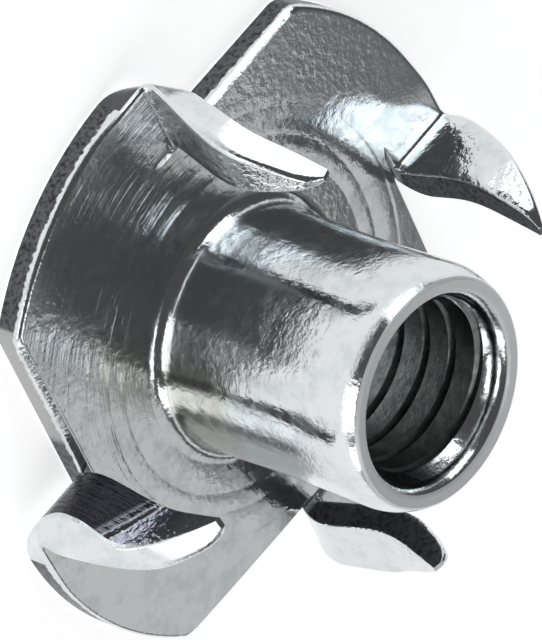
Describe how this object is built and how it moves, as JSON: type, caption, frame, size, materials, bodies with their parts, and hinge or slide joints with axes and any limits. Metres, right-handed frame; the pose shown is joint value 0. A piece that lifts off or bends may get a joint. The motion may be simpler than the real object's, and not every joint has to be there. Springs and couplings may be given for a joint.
{
  "type": "tee nut",
  "caption": "Round-flanged tee nut for wood: a drawn, threaded barrel on a pinwheel flange whose slit edges fold up into curved prongs.",
  "frame": {"origin": "centre of the flange's flat underside, on the barrel's axis", "axes": "+Z along the barrel from the flange to the mouth; +Y runs through the slit edge of one prong; +X follows that slit clockwise as seen from above"},
  "size_m": [0.019, 0.019, 0.0085],
  "materials": {
    "zinc": "bright zinc plate on cold-formed steel"
  },
  "bodies": {
    "root": {"tee_nut": "zinc"}
  },
  "joints": []
}
